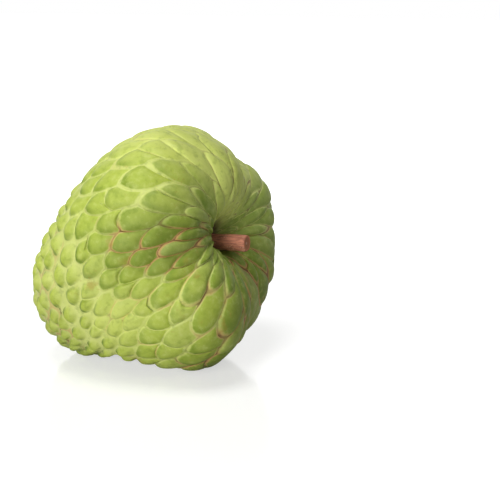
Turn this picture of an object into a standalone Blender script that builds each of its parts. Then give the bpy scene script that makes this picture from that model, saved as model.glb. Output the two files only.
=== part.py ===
"""Custard apple: one whole fruit lying on its side, its cut stalk still in the stem cavity.

The fruit is one solid. Its skin is a closed net of carpels, the raised scales of the fruit.
The carpel centres follow a golden-angle spiral from the stem to the tip. Each carpel is the
Voronoi cell round its centre: a long tongue near the stem, a round pad near the tip.

Fruit frame: +Z runs along the core towards the stem, +X is the side that ends up on top.
Part frame: +Z up, the core lies in the XZ plane with the stem end towards +X, raised by LEAN.
The origin is the middle of the fruit's bounding box in X and Y, on the ground plane.
"""

import math
from dataclasses import dataclass

import bmesh
import bpy
import numpy as np
from mathutils import Matrix, Vector

MM = 0.001
COLLECTION_NAME = "custard_apple"
CUTTER_COLLECTION_NAME = "cutters"


@dataclass(frozen=True)
class Station:
    """One ring of the heart-shaped profile."""

    polar: float  # degrees from the stem on the even sphere the carpels are laid out on
    radius: float  # mm from the core
    height: float  # mm along the core


@dataclass(frozen=True)
class Lobe:
    """One broad swelling or hollow of the fruit."""

    azimuth: float  # degrees round the core, 0 is the upper side
    polar: float  # degrees from the stem, seen from the middle of the fruit
    spread: float  # degrees
    rise: float  # mm, negative for a hollow


@dataclass(frozen=True)
class Calm:
    """A place where the carpels stand out less."""

    azimuth: float  # degrees round the core, 0 is the upper side
    polar: float  # degrees from the stem on the even sphere the carpels are laid out on
    spread: float  # degrees
    share: float  # of the relief that is lost at its middle


# Heart profile from the floor of the stem cavity, over the shoulder, to the tip.
PROFILE = (
    Station(0.0, 0.0, 24.0),
    Station(16.0, 2.8, 24.3),
    Station(33.0, 5.6, 26.5),
    Station(41.0, 9.0, 32.0),
    Station(46.5, 14.5, 37.0),
    Station(50.5, 23.0, 40.5),
    Station(54.5, 33.0, 41.5),
    Station(59.0, 42.0, 38.0),
    Station(65.0, 49.5, 30.0),
    Station(74.0, 52.0, 16.5),
    Station(86.0, 50.0, 1.0),
    Station(100.5, 45.5, -15.0),
    Station(116.0, 39.0, -28.5),
    Station(132.5, 31.0, -40.5),
    Station(149.0, 21.5, -49.5),
    Station(164.5, 10.8, -55.0),
    Station(180.0, 0.0, -57.0),
)

# The fruit grew lopsided: flat on the front shoulder, hollow under the waist.
LOBES = (
    Lobe(180.0, 45.0, 30.0, -7.0),
    Lobe(0.0, 34.0, 28.0, -5.0),
    Lobe(352.0, 24.0, 18.0, 12.0),
    Lobe(312.0, 44.0, 13.0, -5.5),
    Lobe(285.0, 52.0, 14.0, 3.0),
    Lobe(8.0, 121.0, 30.0, -3.5),
    Lobe(180.0, 118.0, 26.0, -13.0),
    Lobe(194.0, 150.0, 26.0, 6.0),
    Lobe(352.0, 147.0, 30.0, -4.0),
    Lobe(184.0, 85.0, 24.0, 5.0),
    Lobe(102.0, 95.0, 38.0, -5.0),
    Lobe(90.0, 50.0, 34.0, -14.0),
    Lobe(300.0, 48.0, 30.0, 4.0),
    Lobe(185.0, 64.0, 22.0, -6.0),
    Lobe(225.0, 52.0, 28.0, -3.0),
)

# Carpel layout.
CARPEL_COUNT = 380
GOLDEN_ANGLE = math.pi * (3.0 - math.sqrt(5.0))
LAYOUT_SEED = 7
LAYOUT_JITTER = 0.28  # share of the carpel pitch
JITTER_WAIST = 0.25  # keeps the jitter bounded at the poles
STEM_CROWDING = math.radians(17.0)  # carpels widen on one side near the stem
TIP_CROWDING = math.radians(30.0)  # and on the other side near the tip
CROWDING_AZIMUTH = math.radians(190.0)
PINCH = math.radians(9.5)  # carpels narrow between the fruit's two shoulders
PINCH_AZIMUTH = math.radians(95.0)
OVERLAP = 0.75  # how far borders that run along the core shrink near the stem
OVERLAP_POLAR = (80.0, 105.0)  # degrees over which that ends
OVERLAP_SLOPE = (0.80, 0.96)  # how well such a border has to be in line with the core

# Carpels lie flatter here: on the far shoulder long low ridges run into the stem cavity.
CALMS = (
    Calm(310.0, 55.0, 30.0, 0.65),
    Calm(350.0, 74.0, 30.0, 0.50),
    Calm(190.0, 78.0, 26.0, 0.20),
)

# Carpel relief. A carpel's length runs from -1 on its stem side to 1 on its tip side.
RELIEF = 2.1 * MM
RELIEF_SPREAD = 0.30  # difference between the highest and the lowest carpel, as a share
RELIEF_SEED = 11
BARE_POLAR = (30.0, 45.0)  # degrees over which the relief rises from the bare cavity floor
TONGUE_POLAR = (84.0, 112.0)  # degrees over which the tongues turn into pads
TONGUE_FOOT = 0.30  # height of a tongue's stem side, as a share of its full height
PAD_FOOT = 0.28
FOOT_SPAN = (-1.0, 0.55)  # where along a carpel its height grows to the full
TONGUE_POWER = 4.5  # how flat a tongue is on top
TONGUE_EDGE = 0.85  # how gently a tongue falls to its border
TONGUE_END_GAIN = 0.35  # how much steeper it falls at its tip end
TONGUE_END_SPAN = (0.0, 0.9)
PAD_POWER = 1.25  # how wide the furrow round a pad is, less is wider
PAD_END_GAIN = 1.35  # how much narrower it is at the pad's tip end
PAD_END_SPAN = (-0.3, 0.8)
HALF = 0.5
SHOULDER_RING = 0.80  # share of the way from a carpel's centre to its border
CAP_RING = 0.45

# Pose in the part frame.
LEAN = math.radians(22.5)
POSE_SHIFT = Vector((5.1, -5.4, 45.05)) * MM
GROUND_BLOCK = Vector((120.0, 120.0, 20.0)) * MM

# Stalk, in the fruit frame.
STALK_ROOT = Vector((1.5, -1.0, 20.0)) * MM
STALK_DIRECTION = Vector((-0.35, 0.11, 0.93))
STALK_LENGTH = 23.0 * MM
STALK_SIDES = 28
# Share of the stalk's length and radius (mm) there: slim neck, waist, swollen cut end.
STALK_RINGS = ((0.0, 3.0), (0.3, 3.1), (0.55, 3.15), (0.8, 3.4), (0.95, 3.5), (1.0, 3.2))
STALK_RIDGES = 7
STALK_RIDGE_DEPTH = 0.07 * MM
SOCKET_CLEARANCE = 0.3 * MM
SOCKET_RADIUS = 3.5 * MM
SOCKET_LENGTH = 14.5 * MM
SOCKET_SIDES = 32

# Surface colours, linear.
SKIN_COLOUR = (0.38, 0.50, 0.12, 1.0)
SKIN_ROUGHNESS = 0.5
STALK_COLOUR = (0.22, 0.10, 0.06, 1.0)
STALK_ROUGHNESS = 0.8

CREASE_ANGLE = math.radians(40.0)
SLOPE_STEP = 2.0e-3
UPRIGHT_LIMIT = 0.9
FULL_TURN = 360.0
SMALLEST = 1.0e-12
MERGE_DISTANCE = 0.05 * MM
PAIR = 2


def smooth_step(low, high, value):
    """Rise from 0 to 1 between low and high."""
    share = np.clip((value - low) / (high - low), 0.0, 1.0)
    return share * share * (3.0 - 2.0 * share)


def hermite(knots, values, where):
    """Smooth curve through the stations, evaluated at every angle of `where`."""
    slopes = np.gradient(values, knots)
    index = np.clip(np.searchsorted(knots, where) - 1, 0, len(knots) - PAIR)
    gap = knots[index + 1] - knots[index]
    share = (where - knots[index]) / gap
    square = share * share
    cube = square * share
    start = (2.0 * cube - 3.0 * square + 1.0) * values[index]
    leave = (cube - 2.0 * square + share) * gap * slopes[index]
    end = (3.0 * square - 2.0 * cube) * values[index + 1]
    arrive = (cube - square) * gap * slopes[index + 1]
    return start + leave + end + arrive


def directions(polar, azimuth):
    """Unit vectors from polar angle and azimuth."""
    flat = np.sin(polar)
    return np.stack([flat * np.cos(azimuth), flat * np.sin(azimuth), np.cos(polar)], -1)


def unit(vectors):
    """Vectors scaled to length 1."""
    lengths = np.linalg.norm(vectors, axis=-1, keepdims=True)
    return vectors / np.maximum(lengths, SMALLEST)


def polar_degrees(sphere):
    """Degrees from the stem on the even sphere."""
    return np.degrees(np.arccos(np.clip(sphere[..., 2], -1.0, 1.0)))


def tipward_of(sphere):
    """Directions towards the fruit's tip, along the even sphere."""
    return unit(np.array([0.0, 0.0, -1.0]) + sphere * sphere[..., 2:3])


def carpel_centres():
    """Directions of the carpel centres: a golden-angle spiral with a little seeded jitter."""
    source = np.random.default_rng(LAYOUT_SEED)
    order = np.arange(CARPEL_COUNT) + HALF
    pitch = math.sqrt(4.0 * math.pi / CARPEL_COUNT)
    reach = LAYOUT_JITTER * pitch
    polar = np.arccos(1.0 - 2.0 * order / CARPEL_COUNT)
    azimuth = order * GOLDEN_ANGLE
    polar = polar + source.uniform(-reach, reach, CARPEL_COUNT)
    swing = source.uniform(-reach, reach, CARPEL_COUNT)
    azimuth = azimuth + swing / np.maximum(np.sin(polar), JITTER_WAIST)
    return directions(polar, azimuth)


def smooth_surface(sphere):
    """Points (m, fruit frame) of the smooth fruit for directions on the even sphere."""
    polar = polar_degrees(sphere)
    along = sphere[..., 2]
    azimuth = np.arctan2(sphere[..., 1], sphere[..., 0])
    crowding = np.where(along > 0.0, STEM_CROWDING, TIP_CROWDING)
    swing = crowding * along * np.sin(azimuth - CROWDING_AZIMUTH)
    pinch = PINCH * (HALF + HALF * along) * np.sin(PAIR * (azimuth - PINCH_AZIMUTH))
    azimuth = azimuth + swing - pinch
    knots = np.array([station.polar for station in PROFILE])
    radii = np.array([station.radius for station in PROFILE])
    heights = np.array([station.height for station in PROFILE])
    # One mirrored station past each pole keeps the curve level where it crosses the core.
    knots = np.concatenate([[-knots[1]], knots, [FULL_TURN - knots[-2]]])
    radii = np.concatenate([[-radii[1]], radii, [-radii[-2]]])
    heights = np.concatenate([[heights[1]], heights, [heights[-2]]])
    radius = hermite(knots, radii, polar)
    height = hermite(knots, heights, polar)
    points = np.stack([radius * np.cos(azimuth), radius * np.sin(azimuth), height], -1)
    outward = unit(points)
    result = points.copy()
    for lobe in LOBES:
        centre = directions(math.radians(lobe.polar), math.radians(lobe.azimuth))
        away = np.degrees(np.arccos(np.clip(outward @ centre, -1.0, 1.0)))
        swell = lobe.rise * np.exp(-((away / lobe.spread) ** 2))
        result = result + outward * swell[..., None]
    return result * MM


def surface_normals(sphere):
    """Outward normals of the smooth fruit, by finite differences."""
    upright = np.abs(sphere[..., 2:3]) < UPRIGHT_LIMIT
    reference = np.where(upright, np.array([0.0, 0.0, 1.0]), np.array([1.0, 0.0, 0.0]))
    east = unit(np.cross(reference, sphere))
    north = np.cross(sphere, east)
    step = SLOPE_STEP
    across = smooth_surface(unit(sphere + step * east)) - smooth_surface(unit(sphere - step * east))
    along = smooth_surface(unit(sphere + step * north)) - smooth_surface(unit(sphere - step * north))
    return unit(np.cross(across, along))


def voronoi_cells(centres):
    """Corner directions of the net and, for every centre, its corners in order round it."""
    hull = bmesh.new()
    centre_verts = [hull.verts.new(centre) for centre in centres]
    bmesh.ops.convex_hull(hull, input=hull.verts)
    bmesh.ops.recalc_face_normals(hull, faces=hull.faces)
    hull.faces.index_update()
    corners = np.array([face.normal[:] for face in hull.faces])
    rings = [corners_round(vertex) for vertex in centre_verts]
    hull.free()
    return overlapped(corners, rings), rings


def corners_round(vertex):
    """Indices of the hull faces round a vertex, walked from edge to edge."""
    first = vertex.link_loops[0]
    found = []
    loop = first
    while True:
        found.append(loop.face.index)
        loop = loop.link_loop_prev.link_loop_radial_next
        if loop is first:
            return found


def overlapped(corners, rings):
    """Shrink the borders that run along the core, so each tongue reaches the next in line."""
    pairs = set()
    for ring in rings:
        for start, end in zip(ring, ring[1:] + ring[:1]):
            pairs.add((min(start, end), max(start, end)))
    starts, ends = np.array(sorted(pairs)).T
    middle = unit(corners[starts] + corners[ends])
    along = unit(corners[ends] - corners[starts])
    slope = np.abs((along * tipward_of(middle)).sum(1))
    amount = OVERLAP * (1.0 - smooth_step(*OVERLAP_POLAR, polar_degrees(middle)))
    pull = (amount * smooth_step(*OVERLAP_SLOPE, slope))[:, None]
    shift = np.zeros_like(corners)
    np.add.at(shift, starts, pull * (middle - corners[starts]))
    np.add.at(shift, ends, pull * (middle - corners[ends]))
    return unit(corners + shift)


def carpel_height(sphere, share, place, tone):
    """Height (m) of the skin over the smooth fruit.

    `sphere` holds directions on the even sphere, `share` runs from 0 at a carpel's centre to
    1 at its border, `place` from -1 at its stem side to 1 at its tip side, and `tone` is the
    carpel's own random value. A tongue's border stays as high as its stem side, so that it
    grows out from under its neighbours. A pad's border sinks to the smooth fruit.
    """
    polar = polar_degrees(sphere)
    tongue = 1.0 - smooth_step(*TONGUE_POLAR, polar)
    rise = RELIEF * (1.0 + RELIEF_SPREAD * (tone - HALF)) * smooth_step(*BARE_POLAR, polar)
    for calm in CALMS:
        middle = directions(math.radians(calm.polar), math.radians(calm.azimuth))
        off = np.degrees(np.arccos(np.clip(sphere @ middle, -1.0, 1.0)))
        rise = rise * (1.0 - calm.share * np.exp(-((off / calm.spread) ** 2)))
    foot = PAD_FOOT + (TONGUE_FOOT - PAD_FOOT) * tongue
    slope = foot + (1.0 - foot) * smooth_step(*FOOT_SPAN, place)
    sunk = foot * tongue
    edge = TONGUE_EDGE - TONGUE_END_GAIN * smooth_step(*TONGUE_END_SPAN, place)
    ridge = (1.0 - share**TONGUE_POWER) ** edge
    fall = PAD_POWER + PAD_END_GAIN * smooth_step(*PAD_END_SPAN, place)
    pad = HALF + HALF * np.cos(np.pi * share**fall)
    return rise * (sunk + (slope - sunk) * (ridge * tongue + pad * (1.0 - tongue)))


def to_part_frame(points):
    """Fruit frame to part frame: core laid down towards +X, raised by LEAN, then shifted."""
    along = points[..., 2]
    up = points[..., 0]
    x = along * math.cos(LEAN) - up * math.sin(LEAN)
    z = along * math.sin(LEAN) + up * math.cos(LEAN)
    return np.stack([x, -points[..., 1], z], -1) + np.array(POSE_SHIFT)


def bridge(outer, inner):
    """Faces between two rings of the same number of vertices."""
    faces = []
    for side in range(len(outer)):
        faces.append((outer[side - 1], outer[side], inner[side]))
        faces.append((outer[side - 1], inner[side], inner[side - 1]))
    return faces


def fan(ring):
    """Faces that close a ring."""
    return [(ring[0], ring[side], ring[side + 1]) for side in range(1, len(ring) - 1)]


def skin_net():
    """Vertices (part frame) and faces of the fruit's skin.

    Neighbouring carpels share their border corners; inside each border lie a shoulder ring
    and a cap, so every carpel stands up as a low dome. The cavity floor's cells are bare.
    """
    centres = carpel_centres()
    tones = np.random.default_rng(RELIEF_SEED).uniform(0.0, 1.0, CARPEL_COUNT)
    corners, rings = voronoi_cells(centres)
    spots = [corners]
    shares = [np.ones(len(corners))]
    places = [np.zeros(len(corners))]
    heights = [np.full(len(corners), HALF)]
    faces = []
    count = len(corners)
    for centre, ring, tone in zip(centres, rings, tones):
        tip = tipward_of(centre)
        east = np.cross(tip, centre)
        flat = corners[ring] / (corners[ring] @ centre)[:, None] - centre
        offset = np.stack([flat @ east, flat @ tip], 1)
        reach = np.abs(offset[:, 1]).max()
        border = list(ring)
        levels = () if polar_degrees(centre) < BARE_POLAR[0] else (SHOULDER_RING, CAP_RING)
        for share in levels:
            moved = offset * share
            spots.append(unit(centre + moved[:, 0:1] * east + moved[:, 1:2] * tip))
            shares.append(np.full(len(ring), share))
            places.append(moved[:, 1] / reach)
            heights.append(np.full(len(ring), tone))
            inner = list(range(count, count + len(ring)))
            count += len(ring)
            faces.extend(bridge(border, inner))
            border = inner
        faces.extend(fan(border))
    sphere = np.concatenate(spots)
    height = carpel_height(sphere, np.concatenate(shares), np.concatenate(places), np.concatenate(heights))
    points = smooth_surface(sphere) + surface_normals(sphere) * height[:, None]
    return to_part_frame(points), faces


def own_material(name, colour, roughness):
    """A plain material for one object."""
    material = bpy.data.materials.new(name)
    material.use_nodes = True
    shader = material.node_tree.nodes["Principled BSDF"]
    shader.inputs["Base Color"].default_value = colour
    shader.inputs["Roughness"].default_value = roughness
    return material


def add_object(name, mesh_data, collection, material=None):
    """Turn a bmesh into an object of the collection."""
    bmesh.ops.recalc_face_normals(mesh_data, faces=mesh_data.faces)
    mesh = bpy.data.meshes.new(name)
    mesh_data.to_mesh(mesh)
    mesh_data.free()
    mesh.shade_smooth()
    mesh.set_sharp_from_angle(angle=CREASE_ANGLE)
    if material is not None:
        mesh.materials.append(material)
    made = bpy.data.objects.new(name, mesh)
    collection.objects.link(made)
    return made


def build_fruit(collection):
    """The fruit's body, with its whole skin still round underneath."""
    points, faces = skin_net()
    body = bmesh.new()
    made = [body.verts.new(point) for point in points]
    for face in faces:
        body.faces.new([made[index] for index in face])
    bmesh.ops.remove_doubles(body, verts=body.verts, dist=MERGE_DISTANCE)
    skin = own_material("skin_green", SKIN_COLOUR, SKIN_ROUGHNESS)
    return add_object("fruit", body, collection, skin)


def stalk_frame():
    """Root, direction and two side directions of the stalk in the part frame."""
    root = Vector(to_part_frame(np.array(STALK_ROOT)))
    tip = Vector(to_part_frame(np.array(STALK_ROOT + STALK_DIRECTION)))
    axis = (tip - root).normalized()
    side = axis.orthogonal().normalized()
    return root, axis, side, axis.cross(side)


def build_stalk(collection):
    """The cut woody stalk, faintly ridged and a little swollen at its cut end."""
    root, axis, side, other = stalk_frame()
    body = bmesh.new()
    loops = []
    for share, radius in STALK_RINGS:
        loop = []
        for step in range(STALK_SIDES):
            turn = PAIR * math.pi * step / STALK_SIDES
            reach = radius * MM + STALK_RIDGE_DEPTH * math.cos(STALK_RIDGES * turn)
            outward = side * math.cos(turn) + other * math.sin(turn)
            loop.append(body.verts.new(root + axis * share * STALK_LENGTH + outward * reach))
        loops.append(loop)
    for lower, upper in zip(loops, loops[1:]):
        for step in range(STALK_SIDES):
            body.faces.new((lower[step - 1], lower[step], upper[step], upper[step - 1]))
    body.faces.new(loops[0])
    body.faces.new(loops[-1])
    bark = own_material("stalk_bark", STALK_COLOUR, STALK_ROUGHNESS)
    return add_object("stalk", body, collection, bark)


def subtract(body, name, cutter_mesh, cutters):
    """Cut one closed mesh out of a body."""
    cutter = add_object(f"{name}_cutter", cutter_mesh, cutters)
    cutter.hide_render = True
    cutter.display_type = "WIRE"
    cut = body.modifiers.new(name, "BOOLEAN")
    cut.operation = "DIFFERENCE"
    cut.solver = "EXACT"
    cut.object = cutter


def ground_block():
    """A block under the ground plane; it wears flat the carpels the fruit lies on."""
    block = bmesh.new()
    bmesh.ops.create_cube(block, size=1.0)
    bmesh.ops.scale(block, vec=GROUND_BLOCK, verts=block.verts)
    bmesh.ops.translate(block, vec=(0.0, 0.0, -GROUND_BLOCK.z / PAIR), verts=block.verts)
    return block


def socket_plug():
    """A round plug with clearance all round the stalk; it opens a blind socket for it."""
    root, axis, _, _ = stalk_frame()
    plug = bmesh.new()
    bmesh.ops.create_cone(
        plug,
        cap_ends=True,
        segments=SOCKET_SIDES,
        radius1=SOCKET_RADIUS,
        radius2=SOCKET_RADIUS,
        depth=SOCKET_LENGTH,
    )
    middle = root + axis * (SOCKET_LENGTH / PAIR - SOCKET_CLEARANCE)
    turn = axis.to_track_quat("Z", "Y").to_matrix().to_4x4()
    bmesh.ops.transform(plug, matrix=Matrix.Translation(middle) @ turn, verts=plug.verts)
    return plug


def main():
    """Empty the scene, then build the fruit, its stalk and the stalk's socket."""
    for old in list(bpy.data.objects):
        bpy.data.objects.remove(old)
    parts = bpy.data.collections.new(COLLECTION_NAME)
    cutters = bpy.data.collections.new(CUTTER_COLLECTION_NAME)
    bpy.context.scene.collection.children.link(parts)
    bpy.context.scene.collection.children.link(cutters)
    fruit = build_fruit(parts)
    subtract(fruit, "worn_flats", ground_block(), cutters)
    subtract(fruit, "stalk_socket", socket_plug(), cutters)
    build_stalk(parts)


main()
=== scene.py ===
"""Custard apple: the looks of one whole fruit lying on its side, with its cut stalk.

The fruit's skin is a closed net of carpels, the raised scales of the fruit. Their centres follow
a golden-angle spiral from the stem to the tip of a heart-shaped body, and each carpel is the
Voronoi cell round its centre. The skin here is the fine version of the CAD node `fruit`, laid
out by the same rules, and the stalk is the fine version of the CAD node `stalk`.

Fruit frame: +Z runs along the core towards the stem, +X is the side that ends up on top.
Row frame: +Z up, in metres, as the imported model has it.
"""

import logging
import math
from dataclasses import dataclass, field
from enum import Enum

import bmesh
import bpy
import numpy as np
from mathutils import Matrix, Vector

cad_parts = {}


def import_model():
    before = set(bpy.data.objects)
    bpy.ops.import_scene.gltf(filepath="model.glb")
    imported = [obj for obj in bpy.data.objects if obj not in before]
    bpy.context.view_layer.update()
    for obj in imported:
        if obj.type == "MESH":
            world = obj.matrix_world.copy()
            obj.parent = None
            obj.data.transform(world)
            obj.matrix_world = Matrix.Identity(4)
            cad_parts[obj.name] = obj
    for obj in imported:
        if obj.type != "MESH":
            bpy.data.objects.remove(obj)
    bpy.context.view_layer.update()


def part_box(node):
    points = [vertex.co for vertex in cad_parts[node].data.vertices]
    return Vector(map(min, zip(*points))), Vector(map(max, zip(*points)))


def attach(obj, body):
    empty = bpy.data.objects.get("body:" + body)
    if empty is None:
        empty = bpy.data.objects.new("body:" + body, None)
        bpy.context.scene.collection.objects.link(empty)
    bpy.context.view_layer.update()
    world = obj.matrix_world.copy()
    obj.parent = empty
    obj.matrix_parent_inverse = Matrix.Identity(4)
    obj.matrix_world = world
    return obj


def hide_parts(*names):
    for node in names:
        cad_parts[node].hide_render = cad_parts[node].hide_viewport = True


Array = np.ndarray
Colour = tuple[float, float, float, float]
Range = tuple[float, float]  # where something starts, and where it is complete

MM = 0.001
TINY = 1.0e-12  # keeps a length from being divided by 0
TIPWARD = np.array([0.0, 0.0, -1.0])  # along the core, in the fruit frame
UPWARD = np.array([1.0, 0.0, 0.0])  # across it, towards the side that ends up on top
LOG = logging.getLogger("custard_apple")


class Mark(Enum):
    """Names of the values stored at every point of a mesh for its material to read."""

    RIM = "rim"  # 0 at a carpel's centre, 1 on its border
    TIP = "tip"  # -1 on a carpel's stem side, 1 on the side towards the fruit's tip
    TONE = "tone"  # one random value for each carpel
    STEM = "stem"  # 0 in the stem cavity, 1 at the fruit's tip
    PAINTED_LIGHT = "pale"  # painted light and shade: above 0 where light is painted on as paler skin, below 0 where shade is painted on as deeper green
    CUT = "cut"  # 1 on the stalk's cut end
    RING = "ring"  # distance from the stalk's pith, as a share of its radius


class Slot(Enum):
    """Material slots of the record."""

    SKIN = "skin"
    BARK = "bark"


# ---------------------------------------------------------------------------------------------
# Small maths


def smooth_step(low: float, high: float, value: Array) -> Array:
    """Rise smoothly from 0 to 1.

    Args:
        low: Where the rise starts.
        high: Where it ends.
        value: The values to look up.

    Returns:
        An array of the same shape, from 0 to 1.
    """
    share = np.clip((value - low) / (high - low), 0.0, 1.0)
    return share * share * (3.0 - 2.0 * share)


def unit(vectors: Array) -> Array:
    """Scale vectors to length 1.

    Args:
        vectors: Vectors along the last axis.

    Returns:
        The same directions with length 1.
    """
    lengths = np.linalg.norm(vectors, axis=-1, keepdims=True)
    return vectors / np.maximum(lengths, TINY)


def directions(polar: Array | float, azimuth: Array | float) -> Array:
    """Turn angles into unit vectors.

    Args:
        polar: Angle from the stem, in radians.
        azimuth: Angle round the core, in radians.

    Returns:
        Unit vectors along the last axis.
    """
    flat = np.sin(polar)
    return np.stack([flat * np.cos(azimuth), flat * np.sin(azimuth), np.cos(polar)], -1)


def polar_of(sphere: Array) -> Array:
    """Angle from the stem, in degrees, of unit vectors."""
    return np.degrees(np.arccos(np.clip(sphere[..., 2], -1.0, 1.0)))


def hermite(knots: Array, values: Array, where: Array) -> Array:
    """Draw a smooth curve through stations.

    Args:
        knots: Rising positions of the stations.
        values: The value at each station.
        where: Positions to look up.

    Returns:
        The curve's value at every position.
    """
    slopes = np.gradient(values, knots)
    index = np.clip(np.searchsorted(knots, where) - 1, 0, len(knots) - 2)
    gap = knots[index + 1] - knots[index]
    share = (where - knots[index]) / gap
    square = share * share
    cube = square * share
    start = (2.0 * cube - 3.0 * square + 1.0) * values[index]
    leave = (cube - 2.0 * square + share) * gap * slopes[index]
    end = (3.0 * square - 2.0 * cube) * values[index + 1]
    arrive = (cube - square) * gap * slopes[index + 1]
    return start + leave + end + arrive


# ---------------------------------------------------------------------------------------------
# The fruit's form


@dataclass(frozen=True)
class Station:
    """One ring of the heart-shaped profile."""

    polar: float  # degrees from the stem on the even sphere the carpels are laid out on
    radius: float  # mm from the core
    height: float  # mm along the core


@dataclass(frozen=True)
class Spot:
    """A soft round place on the fruit where its form, its relief or its colour differs; its colour spots are
    painted light and shade.
    """

    azimuth: float  # degrees round the core, 0 is the upper side
    polar: float  # degrees from the stem
    spread: float  # degrees
    strength: float  # at its middle

    def reach(self, where: Array) -> Array:
        """How strong it is elsewhere.

        Args:
            where: Unit vectors.

        Returns:
            Strengths that fade out from its middle.
        """
        toward = directions(math.radians(self.polar), math.radians(self.azimuth))
        off = np.degrees(np.arccos(np.clip(where @ toward, -1.0, 1.0)))
        return self.strength * np.exp(-((off / self.spread) ** 2))


@dataclass(frozen=True)
class Heart:
    """The smooth, lopsided heart that the carpels stand on."""

    profile: tuple[Station, ...] = (
        Station(0.0, 0.0, 24.0),
        Station(16.0, 2.8, 24.3),
        Station(33.0, 5.6, 26.5),
        Station(41.0, 9.0, 32.0),
        Station(46.5, 14.5, 37.0),
        Station(50.5, 23.0, 40.5),
        Station(54.5, 33.0, 41.5),
        Station(59.0, 42.0, 38.0),
        Station(65.0, 49.5, 30.0),
        Station(74.0, 52.0, 16.5),
        Station(86.0, 50.0, 1.0),
        Station(100.5, 45.5, -15.0),
        Station(116.0, 39.0, -28.5),
        Station(132.5, 31.0, -40.5),
        Station(149.0, 21.5, -49.5),
        Station(164.5, 10.8, -55.0),
        Station(180.0, 0.0, -57.0),
    )
    lobes: tuple[Spot, ...] = (  # broad swellings and hollows, in mm, seen from the middle
        Spot(180.0, 45.0, 30.0, -7.0),
        Spot(0.0, 34.0, 28.0, -5.0),
        Spot(352.0, 24.0, 18.0, 12.0),
        Spot(312.0, 44.0, 13.0, -5.5),
        Spot(285.0, 52.0, 14.0, 3.0),
        Spot(8.0, 121.0, 30.0, -3.5),
        Spot(180.0, 118.0, 26.0, -13.0),
        Spot(194.0, 150.0, 26.0, 6.0),
        Spot(352.0, 147.0, 30.0, -4.0),
        Spot(184.0, 85.0, 24.0, 5.0),
        Spot(102.0, 95.0, 38.0, -5.0),
        Spot(90.0, 50.0, 34.0, -14.0),
        Spot(300.0, 48.0, 30.0, 4.0),
        Spot(185.0, 64.0, 22.0, -6.0),
        Spot(225.0, 52.0, 28.0, -3.0),
    )
    crowding: float = math.radians(17.0)  # widens the carpels on one side near the stem
    tip_crowding: float = math.radians(30.0)  # and on the other side near the tip
    crowding_azimuth: float = math.radians(190.0)
    pinch: float = math.radians(9.5)  # narrows them between the fruit's two shoulders
    pinch_azimuth: float = math.radians(95.0)
    slope_step: float = 2.0e-3  # how far apart the points are that a slope is read from
    near_pole: float = 0.9  # beyond this the core is no use as a reference direction

    def surface(self, sphere: Array) -> Array:
        """Place directions of the even sphere on the smooth fruit.

        Args:
            sphere: Unit vectors.

        Returns:
            Points in metres, in the fruit frame.
        """
        polar = polar_of(sphere)
        azimuth = np.arctan2(sphere[..., 1], sphere[..., 0])
        stemward = 0.5 + 0.5 * sphere[..., 2]
        crowding = np.where(sphere[..., 2] > 0.0, self.crowding, self.tip_crowding)
        swing = crowding * sphere[..., 2] * np.sin(azimuth - self.crowding_azimuth)
        azimuth = azimuth + swing - self.pinch * stemward * np.sin(2.0 * (azimuth - self.pinch_azimuth))
        knots = np.array([station.polar for station in self.profile])
        radii = np.array([station.radius for station in self.profile])
        heights = np.array([station.height for station in self.profile])
        # One mirrored station past each pole keeps the curve level where it crosses the core.
        knots = np.concatenate([[-knots[1]], knots, [360.0 - knots[-2]]])
        radii = np.concatenate([[-radii[1]], radii, [-radii[-2]]])
        heights = np.concatenate([[heights[1]], heights, [heights[-2]]])
        radius = hermite(knots, radii, polar)
        height = hermite(knots, heights, polar)
        points = np.stack([radius * np.cos(azimuth), radius * np.sin(azimuth), height], -1)
        outward = unit(points)
        for lobe in self.lobes:
            points = points + outward * lobe.reach(outward)[..., None]
        return points * MM

    def normals(self, sphere: Array) -> Array:
        """Outward normals of the smooth fruit.

        Args:
            sphere: Unit vectors.

        Returns:
            Unit normals in the fruit frame.
        """
        upright = np.abs(sphere[..., 2:3]) < self.near_pole
        reference = np.where(upright, -TIPWARD, UPWARD)
        east = unit(np.cross(reference, sphere))
        north = np.cross(sphere, east)
        ahead = self.surface(unit(sphere + self.slope_step * east))
        behind = self.surface(unit(sphere - self.slope_step * east))
        above = self.surface(unit(sphere + self.slope_step * north))
        below = self.surface(unit(sphere - self.slope_step * north))
        return unit(np.cross(ahead - behind, above - below))


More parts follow.
